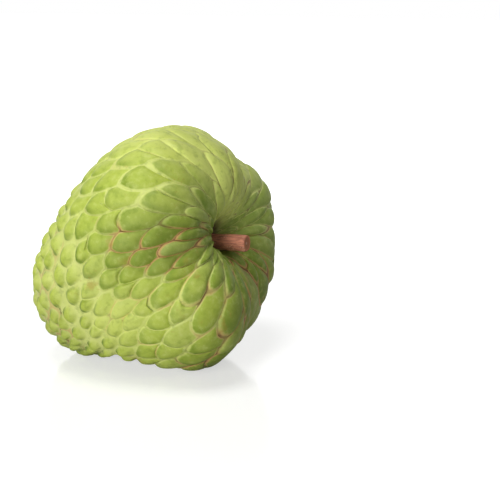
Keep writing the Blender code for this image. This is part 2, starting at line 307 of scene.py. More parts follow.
@dataclass(frozen=True)
class CarpelNet:
    """The layout of the carpels on the even sphere."""

    count: int = 380
    golden_angle: float = math.pi * (3.0 - math.sqrt(5.0))
    seed: int = 7
    jitter: float = 0.28  # share of the pitch
    jitter_waist: float = 0.25  # keeps the jitter bounded at the poles
    overlap: float = 0.75  # how far borders that run along the core shrink near the stem
    overlap_polar: Range = (80.0, 105.0)  # degrees over which that ends
    overlap_slope: Range = (0.80, 0.96)  # how well such a border is in line

    def centres(self) -> Array:
        """Directions of the carpel centres.

        Returns:
            Unit vectors, from the stem to the tip.
        """
        source = np.random.default_rng(self.seed)
        order = np.arange(self.count) + 0.5
        reach = self.jitter * math.sqrt(4.0 * math.pi / self.count)
        polar = np.arccos(1.0 - 2.0 * order / self.count)
        azimuth = order * self.golden_angle
        polar = polar + source.uniform(-reach, reach, self.count)
        swing = source.uniform(-reach, reach, self.count)
        azimuth = azimuth + swing / np.maximum(np.sin(polar), self.jitter_waist)
        return directions(polar, azimuth)

    def cells(self, centres: Array) -> tuple[Array, list[list[int]]]:
        """Voronoi cells round the centres.

        Args:
            centres: Directions of the carpel centres.

        Returns:
            Directions of the net's corners, and each cell's corners in order.
        """
        hull = bmesh.new()
        centre_verts = [hull.verts.new(centre) for centre in centres]
        bmesh.ops.convex_hull(hull, input=hull.verts)
        bmesh.ops.recalc_face_normals(hull, faces=hull.faces)
        hull.faces.index_update()
        corners = np.array([face.normal[:] for face in hull.faces])
        rings = [self.corners_round(vertex) for vertex in centre_verts]
        hull.free()
        return self.overlapped(corners, rings), rings

    def overlapped(self, corners: Array, rings: list[list[int]]) -> Array:
        """Shrink the borders that run along the core, so each carpel reaches the next in line.

        Args:
            corners: Directions of the net's corners.
            rings: Each carpel's corners in order.

        Returns:
            The corners' new directions.
        """
        pairs = {
            (min(start, end), max(start, end))
            for ring in rings
            for start, end in zip(ring, ring[1:] + ring[:1])
        }
        starts, ends = np.array(sorted(pairs)).T
        middle = unit(corners[starts] + corners[ends])
        along = unit(corners[ends] - corners[starts])
        tipward = unit(TIPWARD + middle * middle[:, 2:3])
        slope = np.abs((along * tipward).sum(1))
        amount = self.overlap * (1.0 - smooth_step(*self.overlap_polar, polar_of(middle)))
        pull = (amount * smooth_step(*self.overlap_slope, slope))[:, None]
        shift = np.zeros_like(corners)
        np.add.at(shift, starts, pull * (middle - corners[starts]))
        np.add.at(shift, ends, pull * (middle - corners[ends]))
        return unit(corners + shift)

    @staticmethod
    def corners_round(vertex: bmesh.types.BMVert) -> list[int]:
        """Hull faces round a vertex, walked from edge to edge.

        Args:
            vertex: A vertex of the closed hull.

        Returns:
            Face indices in order round it.
        """
        first = vertex.link_loops[0]
        found = []
        loop = first
        while True:
            found.append(loop.face.index)
            loop = loop.link_loop_prev.link_loop_radial_next
            if loop is first:
                return found

    @staticmethod
    def axes(centre: Array) -> tuple[Array, Array]:
        """Directions in a carpel's plane.

        Args:
            centre: Direction of the carpel's centre.

        Returns:
            The sideways direction, and the one towards the fruit's tip.
        """
        tipward = TIPWARD + centre * centre[2]
        if np.linalg.norm(tipward) < 1.0e-6:  # at a pole
            tipward = UPWARD
        tipward = unit(tipward)
        return unit(np.cross(tipward, centre)), tipward


@dataclass(frozen=True)
class Pose:
    """How the fruit lies in the row frame."""

    lean: float = math.radians(22.5)
    shift: tuple[float, float, float] = (5.1 * MM, -5.4 * MM, 45.05 * MM)

    def place(self, points: Array) -> Array:
        """Fruit frame to row frame.

        Args:
            points: Points in metres, in the fruit frame.

        Returns:
            The same points in the row frame.
        """
        along = points[..., 2]
        up = points[..., 0]
        x = along * math.cos(self.lean) - up * math.sin(self.lean)
        z = along * math.sin(self.lean) + up * math.cos(self.lean)
        return np.stack([x, -points[..., 1], z], -1) + np.array(self.shift)


@dataclass
class SkinPoints:
    """Everything known about the points of the skin while it is laid out."""

    sphere: list[Array] = field(default_factory=list)
    rim: list[Array] = field(default_factory=list)
    tip: list[Array] = field(default_factory=list)
    tone: list[Array] = field(default_factory=list)
    count: int = 0

    def add(self, sphere: Array, rim: Array, tip: Array, tone: Array) -> list[int]:
        """Add points.

        Args:
            sphere: Their directions on the even sphere.
            rim: Distance from the carpel's centre as a share of its border's.
            tip: Place between the carpel's stem side and its tip side.
            tone: The carpel's random value.

        Returns:
            The new points' indices.
        """
        self.sphere.append(sphere)
        self.rim.append(rim)
        self.tip.append(tip)
        self.tone.append(tone)
        first = self.count
        self.count += len(sphere)
        return list(range(first, self.count))


# ---------------------------------------------------------------------------------------------
# Shader helpers


@dataclass
class Graph:
    """A short hand for placing shader nodes and linking them."""

    tree: bpy.types.NodeTree

    def node(self, kind: str, **settings: object) -> bpy.types.Node:
        """Place a node.

        Args:
            kind: Blender's name of the node type.
            settings: Attributes to set on it.

        Returns:
            The node.
        """
        made = self.tree.nodes.new(kind)
        for name, value in settings.items():
            setattr(made, name, value)
        return made

    def feed(self, socket: bpy.types.NodeSocket, value: object) -> None:
        """Link a socket to an output, or set its value.

        Args:
            socket: The input.
            value: An output socket, a number or a colour.
        """
        if isinstance(value, bpy.types.NodeSocket):
            self.tree.links.new(value, socket)
        else:
            socket.default_value = value

    def mark(self, mark: Mark) -> bpy.types.NodeSocket:
        """A value stored at the mesh's points."""
        return self.node("ShaderNodeAttribute", attribute_name=mark.value).outputs["Fac"]

    def maths(self, operation: str, first: object, second: object = 0.0) -> bpy.types.NodeSocket:
        """Work out one operation.

        Args:
            operation: Blender's name of the operation.
            first: First operand.
            second: Second operand.

        Returns:
            The result's socket.
        """
        made = self.node("ShaderNodeMath", operation=operation)
        self.feed(made.inputs[0], first)
        self.feed(made.inputs[1], second)
        return made.outputs[0]

    def ramp(self, value: object, low: float, high: float) -> bpy.types.NodeSocket:
        """A smooth rise from 0 to 1; a high end below the low end makes it a fall.

        Args:
            value: The value to look up.
            low: Where the result is 0.
            high: Where it is 1.

        Returns:
            The result's socket.
        """
        made = self.node("ShaderNodeMapRange", interpolation_type="SMOOTHSTEP")
        self.feed(made.inputs["Value"], value)
        if low < high:
            self.feed(made.inputs["From Min"], low)
            self.feed(made.inputs["From Max"], high)
            return made.outputs[0]
        self.feed(made.inputs["From Min"], high)
        self.feed(made.inputs["From Max"], low)
        self.feed(made.inputs["To Min"], 1.0)
        self.feed(made.inputs["To Max"], 0.0)
        return made.outputs[0]

    def times(self, first: object, second: object) -> bpy.types.NodeSocket:
        """The product of two values."""
        return self.maths("MULTIPLY", first, second)

    def plus(self, first: object, second: object) -> bpy.types.NodeSocket:
        """The sum of two values."""
        return self.maths("ADD", first, second)

    def blend(self, mask: object, under: object, over: object) -> bpy.types.NodeSocket:
        """Lay one colour over another.

        Args:
            mask: How much of the upper colour shows.
            under: The lower colour.
            over: The upper colour.

        Returns:
            The colour's socket.
        """
        made = self.node("ShaderNodeMix", data_type="RGBA", blend_type="MIX")
        self.feed(made.inputs["Factor"], mask)
        self.feed(made.inputs[6], under)
        self.feed(made.inputs[7], over)
        return made.outputs[2]

    def noise(
        self, where: object, scale: object, detail: float = 2.0, rough: float = 0.5
    ) -> bpy.types.NodeSocket:
        """Cloudy noise around 0.5.

        Args:
            where: Coordinates.
            scale: Cells per metre.
            detail: Octaves.
            rough: How strong the finer octaves are.

        Returns:
            The noise's socket.
        """
        made = self.node("ShaderNodeTexNoise")
        for name, value in zip(("Vector", "Scale", "Detail", "Roughness"), (where, scale, detail, rough)):
            self.feed(made.inputs[name], value)
        return made.outputs["Fac"]

    def place(self) -> bpy.types.NodeSocket:
        """Coordinates in metres, fixed to the piece."""
        return self.node("ShaderNodeTexCoord").outputs["Object"]

    def stretched(self, scale: tuple[float, float, float]) -> bpy.types.NodeSocket:
        """Coordinates in metres, stretched along the axes.

        Args:
            scale: Factor along each axis.

        Returns:
            The coordinates' socket.
        """
        made = self.node("ShaderNodeMapping")
        self.feed(made.inputs["Vector"], self.place())
        made.inputs["Scale"].default_value = scale
        return made.outputs["Vector"]

    def bump(self, shader: bpy.types.Node, height: object, strength: float, distance: float) -> None:
        """Raise a shader's surface by a height.

        Args:
            shader: The Principled BSDF.
            height: From 0 to 1.
            strength: How much of it shows.
            distance: What a height of 1 stands for, in metres.
        """
        made = self.node("ShaderNodeBump")
        self.feed(made.inputs["Strength"], strength)
        self.feed(made.inputs["Distance"], distance)
        self.feed(made.inputs["Height"], height)
        self.feed(shader.inputs["Normal"], made.outputs["Normal"])


def new_group(
    name: str, inputs: dict[str, float], output: str
) -> tuple[Graph, bpy.types.Node, bpy.types.NodeSocket]:
    """Start a shader node group with named sockets.

    Args:
        name: The group's name.
        inputs: Name and default of each number it takes.
        output: Name of the number it gives.

    Returns:
        Its graph, its input node and the socket that takes its result.
    """
    tree = bpy.data.node_groups.new(name, "ShaderNodeTree")
    for socket_name, default in inputs.items():
        socket = tree.interface.new_socket(name=socket_name, in_out="INPUT", socket_type="NodeSocketFloat")
        socket.default_value = default
    tree.interface.new_socket(name=output, in_out="OUTPUT", socket_type="NodeSocketFloat")
    graph = Graph(tree)
    return graph, graph.node("NodeGroupInput"), graph.node("NodeGroupOutput").inputs[output]


def speckle_group() -> bpy.types.NodeTree:
    """Small scattered specks: freckles of the skin, pores and dust in the bark.

    Returns:
        A group that takes Scale, Amount and Patch and gives Specks, from 0 to 1.
    """
    threshold, softness = 0.82, 0.10
    inputs = {"Scale": 400.0, "Amount": 0.3, "Patch": 60.0}
    graph, given, result = new_group("Specks", inputs, "Specks")
    place = graph.place()
    fine = graph.noise(place, given.outputs["Scale"], 3.0)
    patch = graph.noise(place, given.outputs["Patch"], 1.0)
    level = graph.maths("SUBTRACT", threshold, graph.times(patch, given.outputs["Amount"]))
    graph.feed(result, graph.ramp(graph.maths("SUBTRACT", fine, level), 0.0, softness))
    return graph.tree


def grain_group() -> bpy.types.NodeTree:
    """Two sizes of unevenness in one height, for skin, bark and ground.

    Returns:
        A group that takes Coarse, Fine and Mix and gives Height, around 0.5.
    """
    inputs = {"Coarse": 120.0, "Fine": 900.0, "Mix": 0.35}
    graph, given, result = new_group("Grain", inputs, "Height")
    place = graph.place()
    blend = graph.node("ShaderNodeMix", data_type="FLOAT")
    graph.feed(blend.inputs["Factor"], given.outputs["Mix"])
    graph.feed(blend.inputs[2], graph.noise(place, given.outputs["Coarse"]))
    graph.feed(blend.inputs[3], graph.noise(place, given.outputs["Fine"]))
    graph.feed(result, blend.outputs[0])
    return graph.tree


@dataclass(frozen=True)
class SharedEffects:
    """The node groups that several finishes use."""

    specks: bpy.types.NodeTree
    grain: bpy.types.NodeTree

    def place(self, graph: Graph, tree: bpy.types.NodeTree, **values: float) -> bpy.types.NodeSocket:
        """Put a group into a material.

        Args:
            graph: The material's graph.
            tree: The group.
            values: Values for its named inputs.

        Returns:
            The group's first output.
        """
        made = graph.node("ShaderNodeGroup", node_tree=tree)
        for name, value in values.items():
            graph.feed(made.inputs[name], value)
        return made.outputs[0]


# ---------------------------------------------------------------------------------------------
# Finishes


def start_material(name: str) -> tuple[bpy.types.Material, Graph, bpy.types.Node]:
    """Start a material.

    Args:
        name: The material's name.

    Returns:
        The material, its graph and its Principled BSDF.
    """
    material = bpy.data.materials.new(name)
    material.use_nodes = True
    return material, Graph(material.node_tree), material.node_tree.nodes["Principled BSDF"]


@dataclass(frozen=True)
class SkinPlace:
    """Where a point of the skin lies, as sockets that the layers of the skin read."""

    where: bpy.types.NodeSocket  # coordinates in metres
    rim: bpy.types.NodeSocket  # 0 at a carpel's centre, 1 on its border, a little uneven
    tip: bpy.types.NodeSocket  # -1 on its stem side, 1 on its tip side, a little uneven
    end: bpy.types.NodeSocket  # 1 in the crescent before its border on the tip side
    near: bpy.types.NodeSocket  # 1 close to the stem
    painted_shade: bpy.types.NodeSocket  # 1 where shade is painted on as deeper green, and roughest


@dataclass(frozen=True)
class SkinFinish:
    """Green skin: pale along the furrows, dark green where a carpel ends, dull near the stem, with painted
    light and shade in spots.
    """

    furrow: Colour = (0.67, 0.72, 0.24, 1.0)
    flesh: Colour = (0.43, 0.52, 0.075, 1.0)
    shoulder: Colour = (0.115, 0.20, 0.010, 1.0)
    tongue_green: Colour = (0.38, 0.47, 0.068, 1.0)
    stem_green: Colour = (0.25, 0.34, 0.07, 1.0)
    # Painted light and painted shade: paler green where light is painted on, deeper green where shade is
    # painted on.
    painted_light_green: Colour = (0.76, 0.83, 0.22, 1.0)
    painted_shade_green: Colour = (0.15, 0.21, 0.026, 1.0)
    # Dark brown of the real cracks, also used for the painted shade along the furrows.
    crack_and_furrow_shade: Colour = (0.15, 0.075, 0.03, 1.0)
    scar: Colour = (0.40, 0.27, 0.05, 1.0)
    blush: Colour = (0.62, 0.34, 0.14, 1.0)
    cavity: Colour = (0.09, 0.065, 0.025, 1.0)
    # Shares of the way from the stem to the tip.
    tongues: Range = (0.63, 0.47)
    close_to_stem: Range = (0.345, 0.275)
    in_cavity: Range = (0.215, 0.16)
    uneven: tuple[float, float] = (0.20, 0.9)  # how far noise shifts the marks across and along a carpel
    # Strength of the painted light and shade mark at which they show in full.
    strongest_painted_lighting: float = 0.9
    roughness: Range = (0.40, 0.58)
    bump_strength: float = 0.6
    bump_height: float = 0.10 * MM
    gloss: float = 0.16
    glow_share: float = 0.12  # light that goes on under the skin, and how deep each colour goes
    glow_colour: tuple[float, float, float] = (0.9, 1.0, 0.3)
    glow_depth: float = 1.2 * MM

    def material(self, effects: SharedEffects) -> bpy.types.Material:
        """Build the material.

        Args:
            effects: The shared node groups.

        Returns:
            The skin's material.
        """
        made, graph, shader = start_material("custard_apple_skin")
        stem = graph.mark(Mark.STEM)
        painted_lighting = graph.mark(Mark.PAINTED_LIGHT)
        skin = self.place(graph, stem, painted_lighting)
        body = graph.blend(graph.ramp(stem, *self.tongues), self.pads(graph, skin), self.tongue(graph, skin))
        # Painted light as paler skin, then painted shade as deeper green.
        pale = graph.ramp(painted_lighting, 0.0, self.strongest_painted_lighting)
        body = self.layer(graph, body, self.painted_light_green, pale, share=0.70)
        body = self.layer(graph, body, self.painted_shade_green, skin.painted_shade, share=0.88)
        body = self.layer(graph, body, self.furrow, graph.ramp(graph.mark(Mark.TONE), 0.4, 1.0), share=0.22)
        cloud = graph.ramp(graph.noise(skin.where, 60.0, 3.0, 0.6), 0.35, 0.68)
        body = self.layer(graph, body, self.tongue_green, cloud, share=0.28)
        mottle = graph.noise(skin.where, 330.0, 4.0, 0.6)
        body = self.layer(graph, body, self.furrow, graph.ramp(mottle, 0.50, 0.72), share=0.28)
        body = self.layer(graph, body, self.shoulder, graph.ramp(mottle, 0.50, 0.30), share=0.30)
        body = self.weather(graph, effects, skin, body)
        body = graph.blend(graph.ramp(stem, *self.in_cavity), body, self.cavity)
        graph.feed(shader.inputs["Base Color"], body)
        self.surface(graph, effects, shader)
        return made

    def layer(
        self, graph: Graph, body: object, colour: Colour, mask: object, share: float
    ) -> bpy.types.NodeSocket:
        """Lay a colour over the skin where a mask says, at no more than a share of its strength."""
        return graph.blend(graph.times(mask, share), body, colour)

    def place(self, graph: Graph, stem: object, painted_lighting: object) -> SkinPlace:
        """Work out where a point of the skin lies.

        Args:
            graph: The material's graph.
            stem: The way from the stem to the tip.
            painted_lighting: Painted light above 0 as paler skin, painted shade below 0 as deeper green.

        Returns:
            The sockets that the layers read.
        """
        where = graph.place()
        wobble = graph.maths("SUBTRACT", graph.noise(where, 170.0, 3.0), 0.5)
        rim = graph.plus(graph.mark(Mark.RIM), graph.times(wobble, self.uneven[0]))
        tip = graph.plus(graph.mark(Mark.TIP), graph.times(wobble, self.uneven[1]))
        end = graph.times(graph.ramp(tip, -0.1, 0.6), graph.ramp(rim, 0.40, 0.76))
        near = graph.ramp(stem, *self.close_to_stem)
        # Painted shade: deeper green where the painted light and shade mark is below 0.
        painted_shade = graph.ramp(painted_lighting, 0.0, -self.strongest_painted_lighting)
        return SkinPlace(where, rim, tip, end, near, painted_shade)

    def pads(self, graph: Graph, skin: SkinPlace) -> bpy.types.NodeSocket:
        """Pads: pale on the stem side, green towards the end, dark green just before the edge.

        Args:
            graph: The material's graph.
            skin: Where the point lies.

        Returns:
            The pads' colour.
        """
        green = graph.times(graph.ramp(skin.rim, 0.95, 0.55), graph.ramp(skin.tip, -1.0, 0.25))
        body = graph.blend(green, self.furrow, self.flesh)
        crescent = graph.times(skin.end, graph.ramp(skin.rim, 0.96, 0.86))
        return self.layer(graph, body, self.shoulder, crescent, share=0.95)

    def tongue(self, graph: Graph, skin: SkinPlace) -> bpy.types.NodeSocket:
        """Tongues: green almost to the edge, with a thin pale rim.

        Args:
            graph: The material's graph.
            skin: Where the point lies.

        Returns:
            The tongues' colour.
        """
        body = graph.blend(graph.ramp(skin.tip, -0.9, 0.6), self.flesh, self.tongue_green)
        body = self.layer(graph, body, self.stem_green, skin.near, share=0.85)
        crescent = graph.times(skin.end, graph.ramp(skin.rim, 0.94, 0.84))
        body = self.layer(graph, body, self.shoulder, crescent, share=0.55)
        return self.layer(graph, body, self.furrow, graph.ramp(skin.rim, 0.84, 0.96), share=0.75)

    def weather(
        self, graph: Graph, effects: SharedEffects, skin: SkinPlace, body: object
    ) -> bpy.types.NodeSocket:
        """Add blush, cracks, painted shade along the furrows, scars and freckles.

        Args:
            graph: The material's graph.
            effects: The shared node groups.
            skin: Where the point lies.
            body: The clean skin's colour.

        Returns:
            The weathered colour.
        """
        worn = graph.plus(graph.noise(skin.where, 48.0), graph.times(skin.painted_shade, 0.22))
        patches = graph.ramp(worn, 0.54, 0.70)
        pink = graph.times(graph.ramp(skin.rim, 0.86, 0.99), patches)
        flush = graph.plus(graph.times(skin.painted_shade, 0.35), 0.45)
        body = graph.blend(graph.times(pink, flush), body, self.blush)
        breaks = graph.ramp(graph.noise(skin.where, 120.0), 0.50, 0.62)
        line = graph.times(graph.ramp(skin.rim, 0.97, 1.04), graph.times(breaks, patches))
        body = self.layer(graph, body, self.crack_and_furrow_shade, line, share=0.80)
        # Painted shade: dark lines along the furrows in the painted shade spots and close to the stem.
        furrow_shade_zone = graph.maths("MAXIMUM", skin.painted_shade, skin.near)
        painted_furrow_shade = graph.times(graph.ramp(skin.rim, 0.98, 1.03), furrow_shade_zone)
        body = self.layer(graph, body, self.crack_and_furrow_shade, painted_furrow_shade, share=0.65)
        stains = graph.plus(graph.noise(skin.where, 85.0, 4.0, 0.65), graph.times(skin.painted_shade, 0.06))
        body = self.layer(graph, body, self.scar, graph.ramp(stains, 0.62, 0.76), share=0.55)
        specks = effects.place(graph, effects.specks, Scale=700.0, Amount=0.30, Patch=80.0)
        return self.layer(graph, body, self.scar, specks, share=0.35)

    def surface(self, graph: Graph, effects: SharedEffects, shader: bpy.types.Node) -> None:
        """Set the sheen, the fine grain and the light under the skin.

        Args:
            graph: The material's graph.
            effects: The shared node groups.
            shader: The Principled BSDF.
        """
        grain = effects.place(graph, effects.grain, Coarse=260.0, Fine=1500.0, Mix=0.35)
        rough = graph.node("ShaderNodeMapRange")
        ends = {"Value": grain, "From Min": 0.3, "From Max": 0.7}
        ends |= {"To Min": self.roughness[0], "To Max": self.roughness[1]}
        for name, value in ends.items():
            graph.feed(rough.inputs[name], value)
        graph.feed(shader.inputs["Roughness"], rough.outputs[0])
        graph.bump(shader, grain, self.bump_strength, self.bump_height)
        shader.inputs["Specular IOR Level"].default_value = self.gloss
        shader.inputs["Subsurface Weight"].default_value = self.glow_share
        shader.inputs["Subsurface Radius"].default_value = self.glow_colour
        shader.inputs["Subsurface Scale"].default_value = self.glow_depth


@dataclass(frozen=True)
class BarkFinish:
    """Dry reddish bark with long streaks, and a darker cut end with a pale pith."""

    bark: Colour = (0.54, 0.215, 0.13, 1.0)
    streak: Colour = (0.33, 0.125, 0.075, 1.0)
    dust: Colour = (0.62, 0.355, 0.24, 1.0)
    cut_wood: Colour = (0.40, 0.17, 0.08, 1.0)
    cut_edge: Colour = (0.62, 0.22, 0.10, 1.0)
    along: tuple[float, float, float] = (0.12, 1.0, 1.0)  # draws the streaks out lengthwise
    rind: Range = (0.70, 0.95)  # shares of the cut end's radius where the wood turns to bark
    pith: Range = (0.24, 0.12)
    roughness: float = 0.72
    gloss: float = 0.25
    bump_strength: float = 0.8
    bump_height: float = 0.18 * MM

    def material(self, effects: SharedEffects) -> bpy.types.Material:
        """Build the material.

        Args:
            effects: The shared node groups.

        Returns:
            The stalk's material.
        """
        made, graph, shader = start_material("custard_apple_bark")
        streaks = graph.noise(graph.stretched(self.along), 1400.0, 4.0, 0.6)
        colour = graph.blend(graph.ramp(streaks, 0.42, 0.62), self.streak, self.bark)
        dust = effects.place(graph, effects.specks, Scale=1500.0, Amount=0.45, Patch=300.0)
        colour = graph.blend(graph.times(dust, 0.6), colour, self.dust)
        ring = graph.mark(Mark.RING)
        face = graph.blend(graph.ramp(ring, *self.rind), self.cut_wood, self.cut_edge)
        face = graph.blend(graph.ramp(ring, *self.pith), face, self.dust)
        colour = graph.blend(graph.mark(Mark.CUT), colour, face)
        graph.feed(shader.inputs["Base Color"], colour)
        graph.bump(shader, streaks, self.bump_strength, self.bump_height)
        shader.inputs["Roughness"].default_value = self.roughness
        shader.inputs["Specular IOR Level"].default_value = self.gloss
        return made


@dataclass(frozen=True)
class GroundFinish:
    """A plain white, faintly glossy ground that melts into the white room."""

    white: Colour = (0.60, 0.60, 0.59, 1.0)
    glow: float = 0.585
    roughness: tuple[float, float] = (0.10, 0.06)  # at its smoothest, and what the grain adds
    gloss: float = 0.8
    fade: Range = (0.10, 0.30)  # metres from the fruit

    def material(self, effects: SharedEffects) -> bpy.types.Material:
        """Build the material.

        Args:
            effects: The shared node groups.

        Returns:
            The ground's material.
        """
        made, graph, shader = start_material("white_ground")
        grain = effects.place(graph, effects.grain, Coarse=3.0, Fine=40.0, Mix=0.3)
        rough = graph.plus(graph.times(grain, self.roughness[1]), self.roughness[0])
        graph.feed(shader.inputs["Roughness"], rough)
        shader.inputs["Base Color"].default_value = self.white
        shader.inputs["Specular IOR Level"].default_value = self.gloss
        path = graph.node("ShaderNodeLightPath")
        length = graph.node("ShaderNodeVectorMath", operation="LENGTH")
        graph.feed(length.inputs[0], graph.place())
        away = graph.ramp(length.outputs["Value"], *self.fade)
        glow = graph.plus(graph.times(away, 1.0 - self.glow), self.glow)
        seen = graph.node("ShaderNodeEmission")
        graph.feed(seen.inputs["Strength"], graph.times(glow, path.outputs["Is Camera Ray"]))
        total = graph.node("ShaderNodeAddShader")
        graph.feed(total.inputs[0], shader.outputs[0])
        graph.feed(total.inputs[1], seen.outputs[0])
        graph.feed(made.node_tree.nodes["Material Output"].inputs["Surface"], total.outputs[0])
        return made


# ---------------------------------------------------------------------------------------------
# Pieces


def store_mark(mesh: bpy.types.Mesh, mark: Mark, values: Array) -> None:
    """Store one number at every point of a mesh.

    Args:
        mesh: The mesh.
        mark: The name to store under.
        values: One number a point.
    """
    attribute = mesh.attributes.new(mark.value, "FLOAT", "POINT")
    attribute.data.foreach_set("value", np.ascontiguousarray(values, np.float32))


def show(name: str, mesh: bpy.types.Mesh, material: bpy.types.Material) -> bpy.types.Object:
    """Put a smooth-shaded mesh with its material into the scene.

    Args:
        name: The piece's name.
        mesh: Its mesh.
        material: Its material.

    Returns:
        The piece.
    """
    mesh.materials.append(material)
    mesh.shade_smooth()
    made = bpy.data.objects.new(name, mesh)
    bpy.context.scene.collection.objects.link(made)
    return made


@dataclass
class Fruit:
    """The fruit's skin, carpel by carpel."""

    heart: Heart = field(default_factory=Heart)
    net: CarpelNet = field(default_factory=CarpelNet)
    pose: Pose = field(default_factory=Pose)
    edge_steps: int = 4
    # How far a border bows towards the tip, as a share of its length: near the stem, and beyond.
    border_bow: tuple[float, float] = (0.19, 0.08)
    rings: tuple[float, ...] = (0.0, 0.22, 0.42, 0.58, 0.71, 0.81, 0.885, 0.935, 0.968, 0.988, 1.0)
    bare_rings: tuple[float, ...] = (0.0, 0.5, 1.0)
    rounding: int = 14  # passes that even out a carpel's outline
    tongue_rounding: float = 0.35  # share of it that tongues take
    outline_share: float = 0.94
    relief: float = 2.1 * MM
    bare_polar: Range = (30.0, 45.0)  # degrees over which the relief starts
    tongue_polar: Range = (84.0, 112.0)  # tongues nearer the stem, pads beyond
    tongue_foot: float = 0.30  # height of a tongue's stem side, as a share of its full height
    pad_foot: float = 0.28
    pad_share: float = 0.90  # of a pad's cell that stands up, the rest is furrow
    full_height: float = 0.55  # how far towards its tip a carpel has risen to its full height
    # Steepness of the sides on the stem side, what it gains on the tip side, and over what stretch.
    pad_steepness: tuple[float, float] = (1.15, 1.35)
    pad_stretch: Range = (-0.3, 0.8)
    tongue_power: float = 3.6
    tongue_steepness: tuple[float, float] = (1.15, -0.45)
    tongue_stretch: Range = (0.0, 0.9)
    calms: tuple[Spot, ...] = (  # low relief, share of it that is lost
        Spot(310.0, 55.0, 30.0, 0.65),
        Spot(350.0, 74.0, 30.0, 0.50),
        Spot(190.0, 78.0, 26.0, 0.20),
        Spot(85.0, 68.0, 22.0, -0.35),
    )
    painted_light_spots: tuple[Spot, ...] = (  # painted light as paler skin, or painted shade as deeper green where below 0
        Spot(335.0, 55.0, 34.0, 1.0),
        Spot(8.0, 64.0, 24.0, 0.6),
        Spot(106.0, 90.0, 24.0, 0.9),
        Spot(84.0, 68.0, 26.0, -1.0),
        Spot(188.0, 64.0, 34.0, -1.3),
        Spot(135.0, 140.0, 36.0, -0.55),
    )
    tone_seed: int = 11
    tone_height: float = 0.30
    object: bpy.types.Object | None = None

    def border(self, corners: Array, rings: list[list[int]], skin: SkinPoints) -> list[list[int]]:
        """Lay out the furrows between the carpels, shared by the two carpels at each.

        Args:
            corners: Directions of the net's corners.
            rings: Each carpel's corners in order.
            skin: The skin's points so far.

        Returns:
            Each carpel's border points in order.
        """
        ones = np.ones(len(corners))
        skin.add(corners, ones, 0.0 * ones, 0.5 * ones)
        edges: dict[tuple[int, int], list[int]] = {}
        borders = []
        for ring in rings:
            whole = []
            for start, end in zip(ring, ring[1:] + ring[:1]):
                key = (min(start, end), max(start, end))
                if key not in edges:
                    shares = np.arange(1, self.edge_steps)[:, None] / self.edge_steps
                    line = self.bowed(corners[key[0]], corners[key[1]], shares)
                    flat = np.ones(len(line))
                    edges[key] = skin.add(line, flat, 0.0 * flat, 0.5 * flat)
                middle = edges[key] if start == key[0] else edges[key][::-1]
                whole.extend([start, *middle])
            borders.append(whole)
        return borders

    def bowed(self, start: Array, end: Array, shares: Array) -> Array:
        """Points along a border that bows towards the fruit's tip.

        Args:
            start: Direction of its first corner.
            end: Direction of its last corner.
            shares: How far along it the points lie.

        Returns:
            The points' directions.
        """
        _, tipward = self.net.axes(unit(start + end))
        along = end - start
        length = np.linalg.norm(along)
        along = along / max(length, 1.0e-9)
        outward = tipward - along * (tipward @ along)
        polar = math.degrees(math.acos(max(-1.0, min(1.0, unit(start + end)[2]))))
        pad = smooth_step(*self.tongue_polar, polar)
        depth = (self.border_bow[0] * (1.0 - pad) + self.border_bow[1] * pad) * length
        bow = depth * 4.0 * shares * (1.0 - shares)
        return unit(start * (1.0 - shares) + end * shares + outward * bow)

    def roundness(self, flat: Array) -> Array:
        """How far a carpel's border points stand outside its rounded outline.

        Args:
            flat: Border points in the carpel's plane.

        Returns:
            1 along the sides, more at the corners.
        """
        distance = np.linalg.norm(flat, axis=1)
        even = distance
        for _ in range(self.rounding):
            even = 0.5 * even + 0.25 * (np.roll(even, 1) + np.roll(even, -1))
        return np.maximum(1.0, distance / (self.outline_share * even))

    def height(self, sphere: Array, rim: Array, tip: Array, tone: Array) -> Array:
        """Height of the skin over the smooth fruit.

        Args:
            sphere: Directions from the fruit's middle.
            rim: Distance from each carpel's centre as a share of its border's.
            tip: Place between its stem side and its tip side.
            tone: Its random value.

        Returns:
            Heights in metres.
        """
        polar = polar_of(sphere)
        tongue = 1.0 - smooth_step(*self.tongue_polar, polar)
        share = np.clip(rim, 0.0, 1.0)
        rise = self.relief * (1.0 + self.tone_height * (tone - 0.5))
        rise = rise * smooth_step(*self.bare_polar, polar)
        for calm in self.calms:
            rise = rise * (1.0 - calm.reach(sphere))
        foot = self.pad_foot + (self.tongue_foot - self.pad_foot) * tongue
        slope = foot + (1.0 - foot) * smooth_step(-1.0, self.full_height, tip)
        fall = self.pad_steepness[0] + self.pad_steepness[1] * smooth_step(*self.pad_stretch, tip)
        pad = 0.5 + 0.5 * np.cos(np.pi * np.minimum(share / self.pad_share, 1.0) ** fall)
        edge = self.tongue_steepness[0] + self.tongue_steepness[1] * smooth_step(*self.tongue_stretch, tip)
        ridge = (1.0 - share**self.tongue_power) ** edge
        dome = pad * (1.0 - tongue) + ridge * tongue
        sunk = foot * tongue
        return rise * (sunk + (slope - sunk) * dome)

